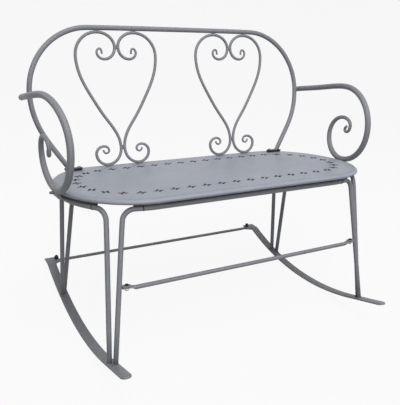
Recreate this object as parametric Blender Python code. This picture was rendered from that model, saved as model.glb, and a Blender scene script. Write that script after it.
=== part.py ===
"""Rocking garden bench: a pressed steel seat on tube legs and bowed runners, with two hearts in its back.

Everything is drawn with the seat level: X to the right, Y to the back, Z up from the runners' lowest line.
The last step leans the whole bench back to the attitude in which it comes to rest on a floor.
"""

import math

import bmesh
import bpy
from mathutils import Matrix, Vector

# Fit between pieces that touch
GAP = 0.0003

# Seat panel: a pressed oval sheet with a rolled rim and a ring of pierced rosettes
SEAT_TOP = 0.4705
SEAT_HALF_WIDTH = 0.502
SEAT_HALF_DEPTH = 0.256
SEAT_FRONT_STRAIGHT = 0.300
SEAT_BACK_STRAIGHT = 0.330
SEAT_MID_Y = -0.004
SHEET = 0.002
RIM_RADIUS = 0.0105
RIM_LIP = 0.026
ROSETTE_COUNT = 44
ROSETTE_HALF_WIDTH = 0.4365
ROSETTE_HALF_DEPTH = 0.1725
ROSETTE_STRAIGHT = 0.300
PETAL_START = 0.003
PETAL_LENGTH = 0.011
PETAL_WIDTH = 0.0065

# Under-frame: rails below the rim, and legs that are pairs of bent tubes
TUBE_RADIUS = 0.007
TUBE_WALL = 0.0015
FRONT_RAIL_INSET = 0.028
REAR_RAIL_INSET = 0.034
SIDE_RAIL_INSET = 0.016
FRONT_RAIL_ANGLE = math.radians(78.4)
REAR_RAIL_ANGLE = math.radians(74.0)
SIDE_FRONT_ANGLE = math.radians(38.5)
SIDE_REAR_ANGLE = math.radians(37.5)
SPIGOT_LENGTH = 0.008
FRONT_BEND_RADIUS = 0.034
REAR_BEND_RADIUS = 0.027
FRONT_LEG_REACH = 0.053
REAR_LEG_REACH = 0.028
FRONT_SIDE_REACH = 0.044
REAR_SIDE_REACH = 0.031
FRONT_FOOT_Y = -0.246
REAR_FOOT_Y = 0.2525
FOOT_SPREAD_X = 0.0055
FOOT_SPREAD_Y = 0.0175

# Runners: bowed flat bars with a rounded front tip and a flat tab at the back
RUNNER_X = 0.439
RUNNER_WIDTH = 0.030
RUNNER_THICK = 0.005
RUNNER_RADIUS = 0.890
RUNNER_MID_Y = -0.025
RUNNER_TOE_Y = -0.205
RUNNER_REAR_Y = 0.386
TOE_LENGTH = 0.147
RUNNER_FACET = math.radians(1.7)
TAB_LENGTH = 0.047
TAB_SLOPE = math.radians(6.0)
TAB_EAR = 0.018
TAB_BOLT_INSET = 0.009
REST_LEAN = math.radians(8.35)

# Stretchers: bars with flattened ends, the front one under lugs on the legs
FRONT_STRETCHER_RADIUS = 0.006
REAR_STRETCHER_RADIUS = 0.0055
STRETCHER_FLAT = 0.0022
STRETCHER_WIDE = 0.010
FRONT_STRETCHER_Z = 0.232
LUG_LENGTH = 0.026
LUG_WIDTH = 0.016
LUG_THICK = 0.0035
LUG_BOLT = 0.014

# Backrest: a bent hoop and four scrolls that make two hearts
HOOP_FOOT_Y = 0.206
HEART_FOOT_Y = 0.222
BACK_TOP_Y = 0.262
HOOP_RADIUS = 0.008
HOOP_WALL = 0.0015
HOOP_HALF_WIDTH = 0.5035
HOOP_HEIGHT = 0.4405
HOOP_CORNER = 0.204
HOOP_FLARE_RADIUS = 0.260
HOOP_FLARE = 33.5
ROD_RADIUS = 0.0047
ROD_TIP = 0.0028
HEART_MID_X = 0.2134
HEART_HALF = 0.138

# Arms: one tapered tube each, from the hoop to the seat and up into a scroll
ARM_RADIUS = 0.0095
ARM_TIP = 0.0045
ARM_WALL = 0.0015
ARM_REAR_Y = 0.259
ARM_JOIN_HEIGHT = 0.2335
ARM_REST_Y = -0.041
ARM_RISE_Y = 0.110
ARM_RISE_HEIGHT = 0.2435
ARM_TOP_Y = -0.012
ARM_TOP_HEIGHT = 0.253
ARM_FRONT_Y = -0.1655
ARM_FRONT_HEIGHT = 0.125
ARM_SWAY = 0.019
ARM_TAPER = 0.300
SCROLL_WIDTH = 0.102
SCROLL_HEIGHT = 0.1455
ARM_REST_ANGLE = math.radians(30)

# Arm brackets on the rim, foot plates of the hoop, and the fasteners
BRACKET_THICK = 0.003
ARM_BOLT_Y = 0.003
ARM_BOLT_DROP = 0.005
PAD_THICK = 0.003
PLATE_THICK = 0.005
PLATE_WIDTH = 0.022
PLATE_OUT = 0.013
PLATE_IN = 0.044
BOLT_RADIUS = 0.003
BOLT_CLEAR = 0.0005

QUARTER_HANDLE = 0.5523

# Colours: linear RGB of the satin grey paint, the blackened plates and the zinc fasteners
PAINT = (0.150, 0.150, 0.160)
BLACK = (0.012, 0.012, 0.013)
ZINC = (0.300, 0.300, 0.310)


# General shaping helpers
def finish(obj, colour, metallic, roughness):
    """A material of the object's own."""
    material = bpy.data.materials.new(obj.name + "_finish")
    material.use_nodes = True
    shader = material.node_tree.nodes["Principled BSDF"]
    shader.inputs["Base Color"].default_value = (*colour, 1.0)
    shader.inputs["Metallic"].default_value = metallic
    shader.inputs["Roughness"].default_value = roughness
    obj.data.materials.append(material)


def add_object(name, bm, colour=PAINT, metallic=0.0, roughness=0.45):
    """Turns a closed bmesh into a named object of the scene."""
    bmesh.ops.recalc_face_normals(bm, faces=bm.faces[:])
    mesh = bpy.data.meshes.new(name)
    bm.to_mesh(mesh)
    bm.free()
    obj = bpy.data.objects.new(name, mesh)
    bpy.context.scene.collection.objects.link(obj)
    finish(obj, colour, metallic, roughness)
    return obj


def cut(obj, cutter):
    """Takes the cutter out of the object and removes the cutter."""
    modifier = obj.modifiers.new("cut", "BOOLEAN")
    modifier.operation = "DIFFERENCE"
    modifier.solver = "EXACT"
    modifier.object = cutter
    graph = bpy.context.evaluated_depsgraph_get()
    mesh = bpy.data.meshes.new_from_object(obj.evaluated_get(graph))
    obj.modifiers.clear()
    obj.data = mesh
    bpy.data.objects.remove(cutter)


def join_rings(bm, first, second):
    """A band of faces between two rings of as many points."""
    count = len(first)
    for i in range(count):
        j = (i + 1) % count
        bm.faces.new((first[i], first[j], second[j], second[i]))


def frames_along(path, normal):
    """Tangent and two cross directions at each point, carried along without twist."""
    last = len(path) - 1
    side = Vector(normal)
    frames = []
    for i in range(last + 1):
        tangent = (path[min(i + 1, last)] - path[max(i - 1, 0)]).normalized()
        side = (side - tangent * side.dot(tangent)).normalized()
        frames.append((tangent, side, tangent.cross(side)))
    return frames


def ring_points(centre, frame, radius, sides):
    """Points of a round or flattened cross-section. A pair of radii makes an ellipse."""
    across, upward = radius if isinstance(radius, tuple) else (radius, radius)
    points = []
    for i in range(sides):
        angle = 2 * math.pi * i / sides
        points.append(centre + frame[1] * across * math.cos(angle) + frame[2] * upward * math.sin(angle))
    return points


def slide_to_plane(points, direction, plane):
    """Moves points along a direction onto a plane, which is a point and a normal."""
    origin, normal = plane
    return [p + direction * ((origin - p).dot(normal) / direction.dot(normal)) for p in points]


def sweep(path, radii, normal, sides, wall=0.0, bore_to=None, start_plane=None, end_plane=None):
    """A rod or a tube along a path. A wall makes it hollow, up to bore_to if that is given."""
    bm = bmesh.new()
    last = len(path) - 1
    frames = frames_along(path, normal)
    radii = radii if isinstance(radii, list) else [radii] * (last + 1)

    def rings(shrink, upto):
        made = []
        for i in range(upto + 1):
            points = ring_points(path[i], frames[i], radii[i] - shrink if shrink else radii[i], sides)
            if i == 0 and start_plane:
                points = slide_to_plane(points, frames[i][0], start_plane)
            if i == last and end_plane:
                points = slide_to_plane(points, frames[i][0], end_plane)
            made.append([bm.verts.new(p) for p in points])
        return made

    outer = rings(0.0, last)
    for first, second in zip(outer, outer[1:]):
        join_rings(bm, first, second)
    if not wall:
        bm.faces.new(outer[0])
        bm.faces.new(outer[-1])
        return bm
    end = last if bore_to is None else bore_to
    inner = rings(wall, end)
    for first, second in zip(inner, inner[1:]):
        join_rings(bm, first, second)
    join_rings(bm, outer[0], inner[0])
    if bore_to is None:
        join_rings(bm, outer[-1], inner[-1])
    else:
        bm.faces.new(outer[-1])
        bm.faces.new(inner[-1])
    return bm


def lathe(profile, base, axis, sides):
    """A turned solid. The profile is a closed loop of (radius, height), on the axis where the radius is 0."""
    bm = bmesh.new()
    axis = Vector(axis).normalized()
    side = axis.orthogonal().normalized()
    frame = (axis, side, axis.cross(side))
    rings = []
    for radius, height in profile:
        centre = Vector(base) + axis * height
        points = ring_points(centre, frame, radius, sides) if radius else [centre]
        rings.append([bm.verts.new(p) for p in points])
    for first, second in zip(rings, rings[1:] + rings[:1]):
        if len(first) == 1 and len(second) == 1:
            continue
        for i in range(sides):
            corners = []
            for ring, k in ((first, i), (first, i + 1), (second, i + 1), (second, i)):
                vert = ring[k % len(ring)]
                if vert not in corners:
                    corners.append(vert)
            bm.faces.new(corners)
    return bm


def bend_corner(before, corner, after, radius, steps):
    """Points of the arc that rounds a corner between two straights."""
    back = (before - corner).normalized()
    on = (after - corner).normalized()
    half = back.angle(on) / 2
    middle = corner + (back + on).normalized() * (radius / math.sin(half))
    start = corner + back * (radius / math.tan(half)) - middle
    turn = math.pi - 2 * half
    axis = start.cross(corner - middle).normalized()
    return [middle + Matrix.Rotation(turn * i / steps, 3, axis) @ start for i in range(steps + 1)]


def trace(start, heading, moves, step):
    """Plane points along straights and bends. A move is ("line", length) or ("bend", radius, degrees)."""
    point = Vector(start)
    angle = math.radians(heading)
    points = [point.copy()]
    for move in moves:
        if move[0] == "line":
            point = point + Vector((math.cos(angle), math.sin(angle))) * move[1]
            points.append(point.copy())
            continue
        turn = math.radians(move[2])
        count = max(1, round(abs(move[2]) / step))
        for _ in range(count):
            part = turn / count
            chord = 2 * move[1] * math.sin(abs(part) / 2)
            angle += part / 2
            point = point + Vector((math.cos(angle), math.sin(angle))) * chord
            angle += part / 2
            points.append(point.copy())
    return points


def scroll_line(knots, steps):
    """Plane points of a scroll through knots of (across, up, heading), mostly a quarter turn apart."""
    points = []
    for (x0, y0, h0), (x1, y1, h1), count in zip(knots, knots[1:], steps):
        first, last = Vector((x0, y0)), Vector((x1, y1))
        out = Vector((math.cos(math.radians(h0)), math.sin(math.radians(h0))))
        into = Vector((math.cos(math.radians(h1)), math.sin(math.radians(h1))))
        span = last - first
        if abs(out.dot(into)) < 0.01:
            reach = (abs(span.dot(out)) * QUARTER_HANDLE, abs(span.dot(into)) * QUARTER_HANDLE)
        else:
            reach = (span.length * 0.36, span.length * 0.36)
        a, b = first + out * reach[0], last - into * reach[1]
        for i in range(count):
            t = i / count
            s = 1 - t
            points.append(first * s**3 + a * 3 * s * s * t + b * 3 * s * t * t + last * t**3)
    points.append(Vector(knots[-1][:2]))
    return points


def tapered(points, radius, tip, start, end):
    """One radius for each point: tip at both or either end, full at the given distances from the ends."""
    lengths = line_lengths(points)
    total = lengths[-1]
    radii = []
    for length in lengths:
        share = 1.0
        if start:
            share = min(share, length / start)
        if end:
            share = min(share, (total - length) / end)
        radii.append(tip + (radius - tip) * share)
    return radii


# Seat panel
def oval(inset, angle, side):
    """A point of the seat's outline, drawn in by inset. The angle is 0 at the end and 90 at the back."""
    straight = SEAT_FRONT_STRAIGHT if angle < 0 else SEAT_BACK_STRAIGHT
    across = straight + (SEAT_HALF_WIDTH - straight - inset) * math.cos(angle)
    return Vector((side * across, SEAT_MID_Y + (SEAT_HALF_DEPTH - inset) * math.sin(angle), 0.0))


def rosette_point(_, angle, side):
    """A point of the line on which the rosettes sit."""
    across = ROSETTE_STRAIGHT + (ROSETTE_HALF_WIDTH - ROSETTE_STRAIGHT) * math.cos(angle)
    return Vector((side * across, SEAT_MID_Y + ROSETTE_HALF_DEPTH * math.sin(angle), 0.0))


def oval_loop(inset, steps, point=oval):
    """The whole outline, from the front right corner round the right end, then round the left end."""
    points = [point(inset, math.pi * (i / steps - 0.5), 1) for i in range(steps + 1)]
    points += [point(inset, math.pi * (0.5 - i / steps), -1) for i in range(steps + 1)]
    return points


def rim_profile():
    """The rim's section as (inset, height): over the roll, along the lip, and back inside the sheet."""
    middle = SEAT_TOP - RIM_RADIUS
    inner = RIM_RADIUS - SHEET
    section = []
    for i in range(7):
        angle = math.radians(90 - 30 * i)
        section.append((RIM_RADIUS - RIM_RADIUS * math.cos(angle), middle + RIM_RADIUS * math.sin(angle)))
    section.append((RIM_RADIUS + RIM_LIP, middle - RIM_RADIUS))
    section.append((RIM_RADIUS + RIM_LIP, middle - inner))
    for i in range(5):
        angle = math.radians(-90 + 45 * i)
        section.append((RIM_RADIUS - inner * math.cos(angle), middle + inner * math.sin(angle)))
    return section


def points_by_distance(loop, count):
    """Evenly spaced points along a closed line, each with the direction of the line there."""
    closed = loop + loop[:1]
    spans = [(b - a).length for a, b in zip(closed, closed[1:])]
    total = sum(spans)
    made = []
    for k in range(count):
        left = total * (k + 0.5) / count
        i = 0
        while left > spans[i]:
            left -= spans[i]
            i += 1
        along = (closed[i + 1] - closed[i]).normalized()
        made.append((closed[i] + along * left, along))
    return made


def petal_prism(bm, centre, along):
    """A diamond-shaped cutter through the sheet, for one petal of a rosette."""
    across = Vector((-along.y, along.x, 0.0))
    corners = []
    for reach, half in ((0.0, 0.0), (0.5, 0.5), (1.0, 0.0), (0.5, -0.5)):
        corners.append(centre + along * (PETAL_START + PETAL_LENGTH * reach) + across * PETAL_WIDTH * half)
    low = [bm.verts.new((p.x, p.y, SEAT_TOP - 3 * SHEET)) for p in corners]
    high = [bm.verts.new((p.x, p.y, SEAT_TOP + 2 * SHEET)) for p in corners]
    join_rings(bm, low, high)
    bm.faces.new(low)
    bm.faces.new(high)


def seat_holes():
    """One cutter for every upright hole in the seat: the rosettes and the screws of the hoop."""
    bm = bmesh.new()
    for centre, along in points_by_distance(oval_loop(0, 24, rosette_point), ROSETTE_COUNT):
        for quarter in range(4):
            petal_prism(bm, centre, Matrix.Rotation(math.pi * quarter / 2, 3, "Z") @ along)
    for side in (1, -1):
        hole = bmesh.ops.create_cone(
            bm,
            cap_ends=True,
            segments=12,
            radius1=BOLT_RADIUS + BOLT_CLEAR,
            radius2=BOLT_RADIUS + BOLT_CLEAR,
            depth=6 * SHEET,
        )
        bmesh.ops.translate(bm, verts=hole["verts"], vec=plate_screw_place(side))
    return add_object("seat_holes", bm)


def make_seat():
    bm = bmesh.new()
    rings = []
    for inset, height in rim_profile():
        rings.append([bm.verts.new((p.x, p.y, height)) for p in oval_loop(inset, 16)])
    for first, second in zip(rings, rings[1:]):
        join_rings(bm, first, second)
    bm.faces.new(rings[0])
    bm.faces.new(rings[-1])
    seat = add_object("seat_panel", bm, roughness=0.4)
    cut(seat, seat_holes())
    for side in (1, -1):
        cut(seat, arm_bolt_hole(side))


# Under-frame
RAIL_Z = SEAT_TOP - 2 * RIM_RADIUS - GAP - TUBE_RADIUS
FRONT_SIDE_FOOT_Y = FRONT_FOOT_Y + FOOT_SPREAD_Y
REAR_SIDE_FOOT_Y = REAR_FOOT_Y - FOOT_SPREAD_Y

# Leg tubes: end, kind, rail's inset, angle of the rail's end, way round, reach to the bend, foot's place
LEGS = (
    ("front", "inner", FRONT_RAIL_INSET, -FRONT_RAIL_ANGLE, 1, FRONT_LEG_REACH, -FOOT_SPREAD_X, FRONT_FOOT_Y),
    ("front", "side", SIDE_RAIL_INSET, -SIDE_FRONT_ANGLE, -1, FRONT_SIDE_REACH, FOOT_SPREAD_X, FRONT_SIDE_FOOT_Y),
    ("rear", "inner", REAR_RAIL_INSET, REAR_RAIL_ANGLE, -1, REAR_LEG_REACH, -FOOT_SPREAD_X, REAR_FOOT_Y),
    ("rear", "side", SIDE_RAIL_INSET, SIDE_REAR_ANGLE, 1, REAR_SIDE_REACH, FOOT_SPREAD_X, REAR_SIDE_FOOT_Y),
)


def runner_point(y, radius):
    """A point on the runner in the plane x = 0, and its normal, on the bow or on the straight toe."""
    toe = math.asin((RUNNER_TOE_Y - RUNNER_MID_Y) / RUNNER_RADIUS)
    angle = max(toe, math.asin((y - RUNNER_MID_Y) / radius))
    normal = Vector((0.0, -math.sin(angle), math.cos(angle)))
    point = Vector((0.0, RUNNER_MID_Y, RUNNER_RADIUS)) - normal * radius
    return point + Vector((0.0, math.cos(angle), math.sin(angle))) * ((y - point.y) / math.cos(angle)), normal


def rail_point(inset, angle, side):
    return oval(inset, angle, side) + Vector((0, 0, RAIL_Z))


def rail_heading(inset, angle, way, side):
    """The way a rail points at an angle of its oval, going round by rising (1) or falling (-1) angles."""
    step = way * 0.001
    return (oval(inset, angle + step, side) - oval(inset, angle - step, side)).normalized()


def add_rail(name, inset, stops):
    """A tube along the seat's oval, through stops of (angle, side), with square ends."""
    path = [rail_point(inset, angle, side) for angle, side in stops]
    planes = []
    for angle, side in (stops[0], stops[-1]):
        planes.append((rail_point(inset, angle, side), rail_heading(inset, angle, 1, side)))
    bm = sweep(path, TUBE_RADIUS, (0, 0, 1), 8, TUBE_WALL, start_plane=planes[0], end_plane=planes[1])
    add_object(name, bm)


def make_rails():
    across = (
        ("front_rail", -1, FRONT_RAIL_INSET, FRONT_RAIL_ANGLE),
        ("rear_rail", 1, REAR_RAIL_INSET, REAR_RAIL_ANGLE),
    )
    for name, toward, inset, end in across:
        half = [toward * (end + (math.pi / 2 - end) * i / 3) for i in range(4)]
        stops = [(angle, -1) for angle in half] + [(angle, 1) for angle in reversed(half)]
        add_rail(name, inset, stops)
    sweep_angle = SIDE_FRONT_ANGLE + SIDE_REAR_ANGLE
    for name, side in (("left_side_rail", -1), ("right_side_rail", 1)):
        stops = [(sweep_angle * i / 10 - SIDE_FRONT_ANGLE, side) for i in range(11)]
        add_rail(name, SIDE_RAIL_INSET, stops)


def leg_line(leg, side):
    """Where a leg tube leaves its rail and which way, its bend's corner, its foot, and the runner's normal."""
    _, _, inset, angle, way, reach, foot_x, foot_y = leg
    heading = rail_heading(inset, angle, way, side)
    rail_end = rail_point(inset, angle, side) + heading * GAP
    on_runner, normal = runner_point(foot_y, RUNNER_RADIUS - RUNNER_THICK)
    foot = on_runner + normal * GAP + Vector((side * (RUNNER_X + foot_x), 0, 0))
    return rail_end, heading, rail_end + heading * reach, foot, normal


def make_legs():
    """Bent tubes that plug into the rails, turn down and stand on the runners."""
    plug = TUBE_RADIUS - TUBE_WALL - 3 * GAP
    for leg in LEGS:
        for hand, side in (("left", -1), ("right", 1)):
            rail_end, heading, corner, foot, normal = leg_line(leg, side)
            radius = FRONT_BEND_RADIUS if leg[0] == "front" else REAR_BEND_RADIUS
            bend = bend_corner(rail_end, corner, foot, radius, 6)
            path = [rail_end - heading * SPIGOT_LENGTH, rail_end - heading * 1e-5, rail_end, *bend, foot]
            radii = [plug, plug] + [TUBE_RADIUS] * (len(path) - 2)
            bm = sweep(path, radii, (0, 0, 1), 8, TUBE_WALL, end_plane=(foot, normal))
            add_object(f"{leg[0]}_{hand}_leg_{leg[1]}_tube", bm)


# Runners
def runner_line():
    """The runner's middle line as (y, z), its normals and its outer and inner half widths, from tip to tab."""
    radius = RUNNER_RADIUS - RUNNER_THICK / 2
    front = math.asin((RUNNER_TOE_Y - RUNNER_MID_Y) / RUNNER_RADIUS)
    rear = math.asin((RUNNER_REAR_Y - RUNNER_MID_Y) / RUNNER_RADIUS)
    half = RUNNER_WIDTH / 2
    angles = [front]
    first = math.ceil((front + 0.004 - REST_LEAN) / RUNNER_FACET - 0.5)
    last = math.floor((rear - 0.004 - REST_LEAN) / RUNNER_FACET - 0.5)
    angles += [REST_LEAN + (k + 0.5) * RUNNER_FACET for k in range(first, last + 1)]
    angles.append(rear)
    line = []
    for angle in angles:
        normal = Vector((-math.sin(angle), math.cos(angle)))
        line.append((Vector((RUNNER_MID_Y, RUNNER_RADIUS)) - normal * radius, normal, half, half))
    point, normal = line[0][:2]
    forward = Vector((-math.cos(front), -math.sin(front)))
    tip = []
    for degrees in (15, 40, 65, 90):
        reach = TOE_LENGTH - half * (1 - math.cos(math.radians(degrees)))
        width = half * math.sin(math.radians(degrees))
        tip.append((point + forward * reach, normal, width, width))
    knee = 0.010
    turn = (rear + TAB_SLOPE) / 2
    normal = Vector((-math.sin(TAB_SLOPE), math.cos(TAB_SLOPE)))
    start = line[-1][0]
    for slope, length in ((turn, knee), (TAB_SLOPE, TAB_LENGTH - knee)):
        start = start + Vector((math.cos(slope), math.sin(slope))) * length
        line.append((start, normal, half, half + TAB_EAR))
    return tip + line


def make_runners():
    for name, side in (("left_rocker", -1), ("right_rocker", 1)):
        bm = bmesh.new()
        rings = []
        for point, normal, outer, inner in runner_line():
            corners = []
            for x, z in ((outer, -0.5), (-inner, -0.5), (-inner, 0.5), (outer, 0.5)):
                at = point + normal * RUNNER_THICK * z
                corners.append(bm.verts.new((side * (RUNNER_X + x), at.x, at.y)))
            rings.append(corners)
        for first, second in zip(rings, rings[1:]):
            join_rings(bm, first, second)
        bm.faces.new(rings[0])
        bm.faces.new(rings[-1])
        runner = add_object(name, bm)
        cut(runner, tab_bolt_hole(side))


# Stretchers
def lug_place(side, lift=0.0):
    """A point on the inward side of a front leg's inner tube, at a height over the front stretcher."""
    _, _, corner, foot, _ = leg_line(LEGS[0], side)
    along = foot - corner
    middle = corner + along * ((FRONT_STRETCHER_Z + lift - corner.z) / along.z)
    reach = TUBE_RADIUS * along.length / abs(along.z) + 2 * GAP
    return middle - Vector((side * reach, 0, 0))


def tab_frame(side):
    """Where the rear stretcher is bolted down: a point on top of the runner's tab, and the tab's normal."""
    point, normal = runner_line()[-1][:2]
    along = Vector((math.cos(TAB_SLOPE), math.sin(TAB_SLOPE)))
    top = point + normal * (RUNNER_THICK / 2) - along * (TAB_LENGTH * 0.35)
    x = RUNNER_X - RUNNER_WIDTH / 2 - TAB_BOLT_INSET
    return Vector((side * x, top.x, top.y)), Vector((0, normal.x, normal.y))


def bore_cutter(base, axis, length):
    """A round cutter for a bolt hole."""
    reach = BOLT_RADIUS + BOLT_CLEAR
    bm = lathe([(0, 0), (reach, 0), (reach, length), (0, length)], base, axis, 12)
    return add_object("bore_cutter", bm)


def tab_bolt_hole(side):
    top, normal = tab_frame(side)
    return bore_cutter(top - normal * 3 * RUNNER_THICK, normal, 5 * RUNNER_THICK)


def lug_bolt_place(side):
    """The front stretcher's bolt, at the height of the stretcher's top, under the lug."""
    return lug_place(side) + Vector((-side * LUG_BOLT, 0, FRONT_STRETCHER_RADIUS))


def lug_bolt_hole(side):
    return bore_cutter(lug_bolt_place(side) - Vector((0, 0, 0.015)), (0, 0, 1), 0.030)


def make_lugs():
    """A small plate on the inner side of each front leg, rounded at its free end."""
    half = LUG_WIDTH / 2
    for name, side in (("left_stretcher_lug", -1), ("right_stretcher_lug", 1)):
        bm = bmesh.new()
        rings = []
        for lift in (FRONT_STRETCHER_RADIUS + GAP, FRONT_STRETCHER_RADIUS + GAP + LUG_THICK):
            edge = lug_place(side, lift)
            middle = Vector((lug_place(side).x - side * (LUG_LENGTH - half), edge.y, edge.z))
            points = [edge + Vector((0, half, 0)), edge - Vector((0, half, 0))]
            for i in range(7):
                angle = math.radians(-90 - 30 * i)
                points.append(middle + Vector((side * math.cos(angle), math.sin(angle), 0)) * half)
            rings.append([bm.verts.new(p) for p in points])
        join_rings(bm, *rings)
        bm.faces.new(rings[0])
        bm.faces.new(rings[1])
        cut(add_object(name, bm), lug_bolt_hole(side))


def stretcher_sweep(left, right, radius, lift, tip, normal):
    """A round bar with its ends pressed flat around two bolts. Lift puts the flats off the bar's middle."""
    along = (right - left).normalized()
    normal = Vector(normal)
    ends = (
        (-tip, STRETCHER_WIDE * 0.50, STRETCHER_FLAT, lift),
        (-tip * 0.6, STRETCHER_WIDE * 0.87, STRETCHER_FLAT, lift),
        (0.0, STRETCHER_WIDE, STRETCHER_FLAT, lift),
        (0.013, STRETCHER_WIDE, STRETCHER_FLAT, lift),
        (0.023, radius, radius, 0.0),
    )
    path = [left + along * reach + normal * up for reach, _, _, up in ends]
    path += [right - along * reach + normal * up for reach, _, _, up in reversed(ends)]
    radii = [(thick, wide) for _, wide, thick, _ in ends]
    return sweep(path, radii + radii[::-1], normal, 12)


def make_stretchers():
    drop = Vector((0, 0, FRONT_STRETCHER_RADIUS))
    ends = [lug_bolt_place(side) - drop for side in (-1, 1)]
    lift = FRONT_STRETCHER_RADIUS - STRETCHER_FLAT
    front = stretcher_sweep(*ends, FRONT_STRETCHER_RADIUS, lift, LUG_BOLT - GAP, (0, 0, 1))
    front = add_object("front_stretcher", front)
    normal = tab_frame(1)[1]
    ends = [tab_frame(side)[0] - normal * (RUNNER_THICK + GAP + STRETCHER_FLAT) for side in (-1, 1)]
    rear = add_object("rear_stretcher", stretcher_sweep(*ends, REAR_STRETCHER_RADIUS, 0, 0.010, normal))
    for side in (-1, 1):
        cut(front, lug_bolt_hole(side))
        cut(rear, tab_bolt_hole(side))


# Backrest
def on_back(across, up, foot_y):
    """A point of a leaning plane that stands on the seat at foot_y. Up is measured from the seat's top."""
    return Vector((across, foot_y + (BACK_TOP_Y - foot_y) * up / HOOP_HEIGHT, SEAT_TOP + up))


def back_normal(foot_y):
    return Vector((0, HOOP_HEIGHT, foot_y - BACK_TOP_Y)).normalized()


def hoop_half():
    """Plane points of the hoop's right half, from the middle of its top to its foot."""
    top = HOOP_HEIGHT
    side = top - HOOP_CORNER
    flare = math.radians(HOOP_FLARE)
    left_over = side - HOOP_FLARE_RADIUS * math.sin(flare) - PAD_THICK - PLATE_THICK
    moves = (
        ("line", HOOP_HALF_WIDTH - HOOP_CORNER),
        ("bend", HOOP_CORNER, -90),
        ("bend", HOOP_FLARE_RADIUS, -HOOP_FLARE),
        ("line", left_over / math.cos(flare)),
    )
    return trace((0, top), 0, moves, 9)


def make_hoop():
    half = hoop_half()[1:]
    path = [on_back(-p.x, p.y, HOOP_FOOT_Y) for p in reversed(half)]
    path += [on_back(p.x, p.y, HOOP_FOOT_Y) for p in half]
    floor = (Vector((0, 0, SEAT_TOP + PAD_THICK + PLATE_THICK + 3 * GAP)), Vector((0, 0, 1)))
    bm = sweep(path, HOOP_RADIUS, back_normal(HOOP_FOOT_Y), 12, HOOP_WALL, start_plane=floor, end_plane=floor)
    add_object("backrest_hoop", bm)


def heart_knots():
    """The scroll of half a heart, as (across from the heart's middle, up, heading), from curl to curl."""
    low = ROD_RADIUS + GAP
    high = HOOP_HEIGHT - HOOP_RADIUS - ROD_RADIUS - GAP
    touch = ROD_RADIUS + GAP / 2
    shape = (
        (0.361, 0.840, 80),
        (0.404, 0.880, 0),
        (0.488, 0.849, -90),
        (0.298, 0.799, 180),
        (None, 0.890, 90),
        (0.456, 1.000, 0),
        (1.000, 0.824, -90),
        (0.520, 0.431, -119),
        (None, 0.128, -90),
        (0.386, 0.000, 0),
        (0.674, 0.087, 90),
        (0.477, 0.147, 180),
        (0.347, 0.114, -90),
        (0.428, 0.090, 0),
        (0.495, 0.116, 80),
    )
    knots = []
    for across, up, heading in shape:
        knots.append((touch if across is None else across * HEART_HALF, low + up * (high - low), heading))
    return knots


def make_hearts():
    line = scroll_line(heart_knots(), (3, 3, 4, 4, 5, 5, 5, 5, 4, 4, 4, 3, 3, 3))
    radii = tapered(line, ROD_RADIUS, ROD_TIP, 0.090, 0.090)
    for hand, side in (("left", -1), ("right", 1)):
        for place, out in (("outer", 1), ("inner", -1)):
            path = [on_back(side * (HEART_MID_X + out * p.x), p.y, HEART_FOOT_Y) for p in line]
            add_object(f"{hand}_heart_{place}_scroll", sweep(path, radii, back_normal(HEART_FOOT_Y), 8))


# Arms
def arm_rest():
    """Where the arm leans on the shoulder of the rim's roll: how far out and how far above the seat's top."""
    angle = math.asin((ARM_REST_Y - SEAT_MID_Y) / SEAT_HALF_DEPTH)
    reach = RIM_RADIUS + ARM_RADIUS + GAP
    out = oval(RIM_RADIUS, angle, 1).x + reach * math.cos(ARM_REST_ANGLE)
    return out, reach * math.sin(ARM_REST_ANGLE) - RIM_RADIUS


def arm_knots():
    """The arm as (forward, up, heading) and how far out, from behind the hoop to the inside of its scroll."""
    out, up = arm_rest()
    join = HOOP_HALF_WIDTH + HOOP_RADIUS + ARM_RADIUS + GAP
    hoop_y = on_back(0, ARM_JOIN_HEIGHT, HOOP_FOOT_Y).y
    knots = [
        ((-ARM_REAR_Y, ARM_JOIN_HEIGHT - ARM_RADIUS / 3, 4), join + 2 * GAP),
        ((-hoop_y, ARM_JOIN_HEIGHT, 4), join),
        ((-ARM_RISE_Y, ARM_RISE_HEIGHT, 5), join + ARM_SWAY * 0.47),
        ((-ARM_TOP_Y, ARM_TOP_HEIGHT, 0), join + ARM_SWAY * 0.10),
        ((-ARM_FRONT_Y, ARM_FRONT_HEIGHT, -90), out - ARM_SWAY * 0.53),
        ((-ARM_REST_Y, up, 180), out),
    ]
    scroll = (
        (-0.441, 0.550, 90, 0.74),
        (0.147, 1.000, 0, 1.00),
        (0.559, 0.811, -90, 0.90),
        (0.422, 0.653, 180, 0.79),
        (0.324, 0.708, 90, 0.74),
        (0.412, 0.790, 30, 0.74),
    )
    for forward, height, heading, sway in scroll:
        knots.append(((forward * SCROLL_WIDTH, height * SCROLL_HEIGHT, heading), out + sway * ARM_SWAY))
    return knots


def line_lengths(points):
    """The distance of each point from the first, along the line."""
    lengths = [0.0]
    for first, second in zip(points, points[1:]):
        lengths.append(lengths[-1] + (second - first).length)
    return lengths


def ease_between(marks, values, at):
    """A smooth value at a distance, from values at marked distances, without overshoot."""
    slopes = [(b - a) / (n - m) for a, b, m, n in zip(values, values[1:], marks, marks[1:])]
    i = max(k for k in range(len(slopes)) if marks[k] <= at + 1e-9)

    def slope_at(k):
        if k == 0 or k == len(slopes) or slopes[k - 1] * slopes[k] <= 0:
            return 0.0
        return 2 * slopes[k - 1] * slopes[k] / (slopes[k - 1] + slopes[k])

    span = marks[i + 1] - marks[i]
    t = (at - marks[i]) / span
    start = values[i] * (1 + 2 * t) * (1 - t) ** 2 + slope_at(i) * span * t * (1 - t) ** 2
    end = values[i + 1] * (3 - 2 * t) * t**2 - slope_at(i + 1) * span * (1 - t) * t**2
    return start + end


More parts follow.
